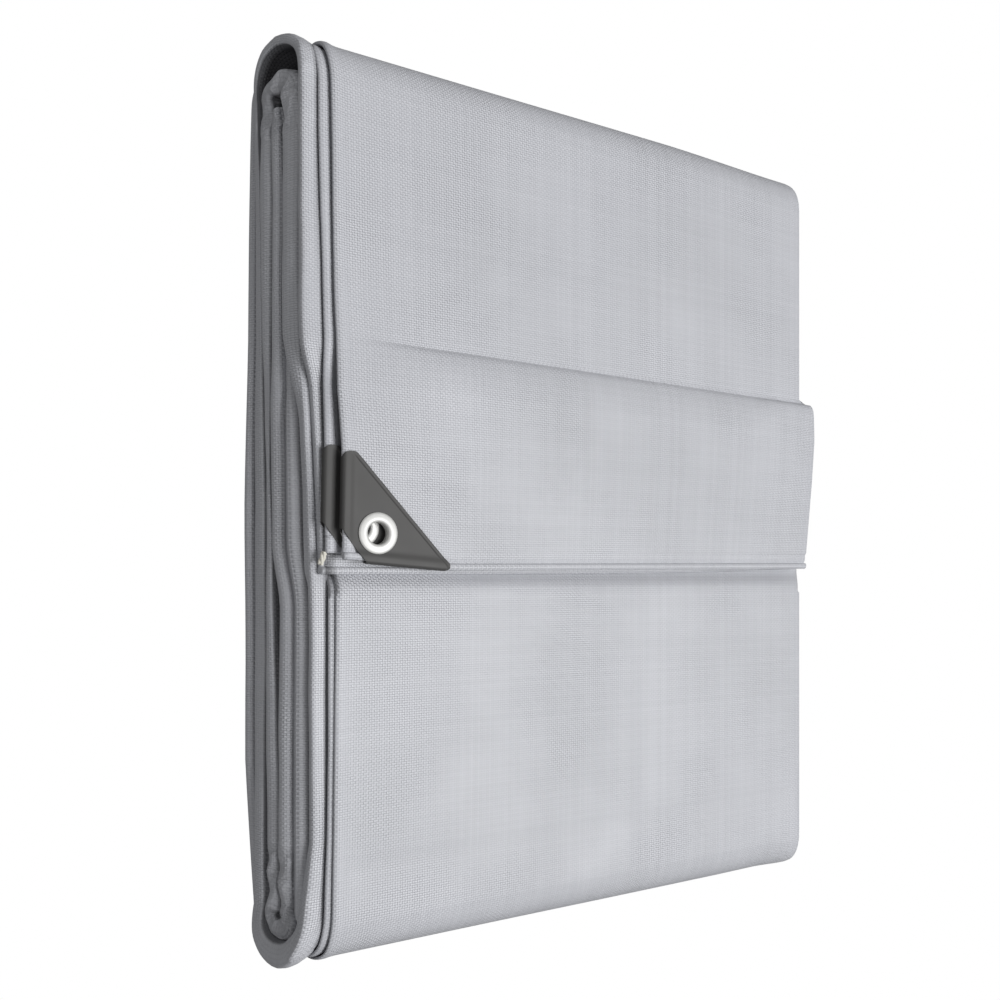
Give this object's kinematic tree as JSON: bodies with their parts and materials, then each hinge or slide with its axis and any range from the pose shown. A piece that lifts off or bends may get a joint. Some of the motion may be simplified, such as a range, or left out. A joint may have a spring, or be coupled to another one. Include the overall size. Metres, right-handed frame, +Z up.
{
  "type": "folded tarpaulin",
  "caption": "Woven tarpaulin folded into a flat pack, with hemmed edges, a flap over the front, plastic corner protectors and metal eyelets.",
  "frame": {"origin": "on the pack's flat back, under the middle of its length and of its front face", "axes": "+Z up, out of the front face; +Y along the pack towards its upper end; +X across it, from the hemmed edges to the folds"},
  "size_m": [0.4079, 0.5204, 0.0707],
  "materials": {
    "tarp_cloth": "satin coated weave",
    "corner_plastic": "matte",
    "eyelet_metal": "satin",
    "rope_fibre": "twisted fibre"
  },
  "bodies": {
    "root": {"tarp": "tarp_cloth", "corner_front": "corner_plastic", "corner_rear": "corner_plastic", "eyelet_front": "eyelet_metal", "eyelet_rear": "eyelet_metal", "hem_rope": "rope_fibre"}
  },
  "joints": []
}
